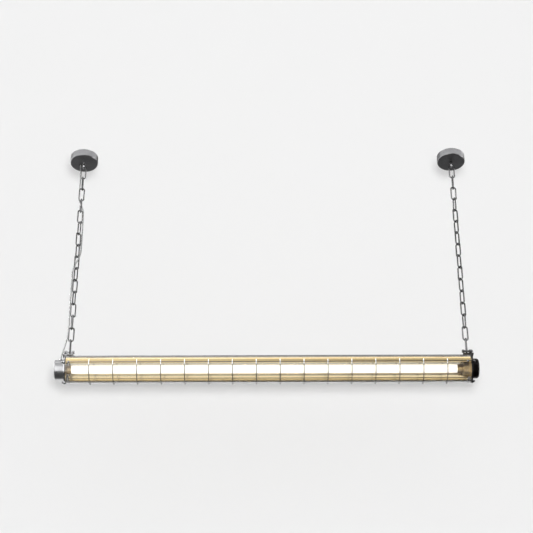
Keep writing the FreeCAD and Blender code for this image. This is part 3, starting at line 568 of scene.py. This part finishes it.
def glow(name, left, right):
    """Light given off evenly, or fading between a left and a right strength."""
    material, tree, shader = start_material(name)
    shader.inputs["Base Color"].default_value = BLACK
    shader.inputs["Specular IOR Level"].default_value = 0.0
    shader.inputs["Emission Color"].default_value = WHITE
    shader.inputs["Emission Strength"].default_value = left
    if left != right:
        strength = spread(tree, place_along(tree, "X"), FADE_X, (left, right))
        tree.links.new(strength, shader.inputs["Emission Strength"])
    return material


def seen_by(card, polish, glass):
    """Leaves a card to polished surfaces or to what shows through glass."""
    card.visible_camera = False
    card.visible_diffuse = False
    card.visible_shadow = False
    card.visible_glossy = polish
    card.visible_transmission = glass


def polish_card(name, corners, left, right):
    """A card that polished surfaces mirror."""
    seen_by(stage_plane(name, corners, glow(name, left, right)), True, False)


def glass_card(name, corners, left, right):
    """A card that shows in glass and in what lies behind it."""
    seen_by(stage_plane(name, corners, glow(name, left, right)), False, True)


def rose_ring(name, x):
    """An upright band of light around a ceiling rose, open at the back."""
    points = []
    for step in range(RING_STEPS + 1):
        turn = math.radians(RING_TURNS[0] + (RING_TURNS[1] - RING_TURNS[0]) * step / RING_STEPS)
        for z in RING_Z:
            points.append((x + RING_RADIUS * math.sin(turn), -RING_RADIUS * math.cos(turn), z))
    faces = [(low, low + 2, low + 3, low + 1) for low in range(0, 2 * RING_STEPS, 2)]
    seen_by(stage_mesh(name, points, faces, glow(name, RING_STRENGTH, RING_STRENGTH)), True, False)


def add_room():
    """A pale wall, painted a trace lighter where the key meets it more at a slant, and a pale floor."""
    wall_paint = matt_paint("wall_paint", WALL_SHADES[0])
    shade_upwards(wall_paint, WALL_SHADE_Z, WALL_SHADES)
    floor_paint = matt_paint("floor_paint", FLOOR_SHADE)
    wall = stage_plane("wall", front_card(ROOM_ENDS, WALL_Y, (FLOOR_Z, WALL_TOP)), wall_paint)
    floor = stage_plane("floor", level_card(ROOM_ENDS, ROOM_ENDS, FLOOR_Z), floor_paint)
    floor.visible_shadow = False
    wall.visible_glossy = False


def add_front_cards():
    """Light from the front for the metal, strong from the left, and for the ends of the hoops."""
    polish_card("front_softbox", front_card(CARD_X, CARD_FRONT, (-3.0, CARD_SPLIT)), 4.0, 0.15)
    polish_card("upper_softbox", front_card(CARD_X, CARD_FRONT, (CARD_SPLIT, CARD_TOP)), 1.15, 0.28)
    polish_card("hoop_softbox", front_card((-0.89, 0.82), CARD_FRONT, (0.25, 0.90)), 4.0, 4.0)
    for side, name in SIDES:
        inner = (side * 1.25, -2.1)
        outer = (side * CARD_EDGE, HOOP_LIGHT_END)
        polish_card(f"{name}_hoop_softbox", upright_card(inner, outer, (0.15, 0.75)), 2.5, 2.5)


def add_surround_cards():
    """A bright strip above, a bright left side, and shade elsewhere round the metal."""
    left_y = (CARD_FRONT, CARD_BACK)
    right_y = (HOOP_LIGHT_END, CARD_BACK)
    polish_card("top_softbox", level_card(CARD_X, (-1.1, ROOF_LIGHT_END), ROOF_Z), 4.0, 1.0)
    polish_card("back_top_flag", level_card(CARD_X, (ROOF_LIGHT_END, CARD_BACK), ROOF_Z), 0.8, 0.2)
    polish_card("back_flag", front_card(CARD_X, CARD_BACK, (CARD_SPLIT, ROOF_Z)), 0.7, 0.12)
    polish_card("left_side_softbox", side_card(-CARD_EDGE, left_y, (CARD_SPLIT, SIDE_LIGHT_TOP)), 4.5, 4.5)
    polish_card("left_high_flag", side_card(-CARD_EDGE, left_y, (SIDE_LIGHT_TOP, CARD_TOP)), 0.08, 0.08)
    polish_card("right_side_flag", side_card(CARD_EDGE, right_y, (CARD_SPLIT, CARD_TOP)), 0.05, 0.05)
    polish_card("low_flag", level_card(CARD_X, (-1.3, UNDER_SPLIT), UNDER_Z), 0.20, 0.06)
    polish_card("far_flag", level_card(CARD_X, (UNDER_SPLIT, 6.0), UNDER_Z), 0.42, 0.36)


def add_glass_cards():
    """Streaks and shades for the gold behind the glass, and shade for the edges of the glass."""
    streak_front, streak_back = GOLD_STREAK_Y
    glass_card("gold_streak", level_card(CARD_X, GOLD_STREAK_Y, GOLD_ROOF_Z), 1.35, 1.35)
    glass_card("gold_front_shade", level_card(CARD_X, (-3.0, streak_front), GOLD_ROOF_Z), 0.92, 0.45)
    glass_card("gold_low_shade", level_card(CARD_X, (-0.06, 0.40), GOLD_UNDER_Z), 0.80, 0.30)
    glass_card("gold_low_streak", level_card(CARD_X, (-0.55, -0.13), GOLD_UNDER_Z), 1.1, 1.2)
    glass_card("gold_back_shade", level_card(CARD_X, (streak_back, CARD_BACK), GOLD_ROOF_Z), 0.80, 0.30)
    glass_card("upper_edge_flag", front_card(EDGE_FLAG_X, EDGE_FLAG_Y, (-0.40, 0.6)), 0.25, 0.20)
    glass_card("lower_edge_flag", front_card(EDGE_FLAG_X, EDGE_FLAG_Y, (-0.80, -0.64)), 0.50, 0.40)


def add_rose_cards():
    """A ring of light round each rose, and a glint to the right of it."""
    for side, name in SIDES:
        middle = side * CHAIN_X
        rose_ring(f"{name}_rose_ring", middle)
        glint = side_card(middle + GLINT_OUT, GLINT_Y, GLINT_Z)
        polish_card(f"{name}_rose_glint", glint, GLINT_STRENGTH, GLINT_STRENGTH)


def add_key():
    """A soft light beside the camera, as strong far away as near."""
    light = bpy.data.lights.new("key", "POINT")
    light.energy = KEY_POWER
    light.shadow_soft_size = KEY_RADIUS
    light.use_nodes = True
    tree = light.node_tree
    falloff = tree.nodes.new("ShaderNodeLightFalloff")
    falloff.inputs["Strength"].default_value = 1.0
    tree.links.new(falloff.outputs["Constant"], tree.nodes["Emission"].inputs["Strength"])
    key = bpy.data.objects.new("key", light)
    key.location = KEY_PLACE
    key.visible_glossy = False
    bpy.context.collection.objects.link(key)


def larger(tree, first, second):
    """The larger of two values."""
    node = tree.nodes.new("ShaderNodeMath")
    node.operation = "MAXIMUM"
    tree.links.new(first, node.inputs[0])
    tree.links.new(second, node.inputs[1])
    return node.outputs["Value"]


def add_world():
    """A white fill, and a pale backdrop for the camera, polished surfaces and glass."""
    world = bpy.data.worlds.new("studio")
    bpy.context.scene.world = world
    world.use_nodes = True
    tree = world.node_tree
    fill = tree.nodes["Background"]
    fill.inputs["Color"].default_value = WHITE
    fill.inputs["Strength"].default_value = FILL_STRENGTH
    shown = tree.nodes.new("ShaderNodeBackground")
    shown.inputs["Color"].default_value = BACKDROP
    path = tree.nodes.new("ShaderNodeLightPath")
    mix = tree.nodes.new("ShaderNodeMixShader")
    direct = larger(tree, path.outputs["Is Camera Ray"], path.outputs["Is Glossy Ray"])
    seen = larger(tree, direct, path.outputs["Is Transmission Ray"])
    tree.links.new(seen, mix.inputs["Fac"])
    tree.links.new(fill.outputs["Background"], mix.inputs[1])
    tree.links.new(shown.outputs["Background"], mix.inputs[2])
    tree.links.new(mix.outputs["Shader"], tree.nodes["World Output"].inputs["Surface"])


def add_camera():
    """The photograph's camera."""
    optics = bpy.data.cameras.new("photo_camera")
    optics.sensor_width = SENSOR_MM
    optics.lens = FOCAL_PIXELS / PHOTO_PIXELS * SENSOR_MM
    optics.clip_end = CAMERA_REACH
    camera = bpy.data.objects.new("photo_camera", optics)
    pitch = Matrix.Rotation(math.radians(90 + CAMERA_PITCH), 4, "X")
    roll = Matrix.Rotation(math.radians(CAMERA_ROLL), 4, "Z")
    camera.matrix_world = Matrix.Translation(CAMERA_PLACE) @ pitch @ roll
    bpy.context.collection.objects.link(camera)
    bpy.context.scene.camera = camera


add_room()
add_front_cards()
add_surround_cards()
add_glass_cards()
add_rose_cards()
add_key()
add_world()
add_camera()
bpy.context.scene.view_settings.view_transform = "Standard"
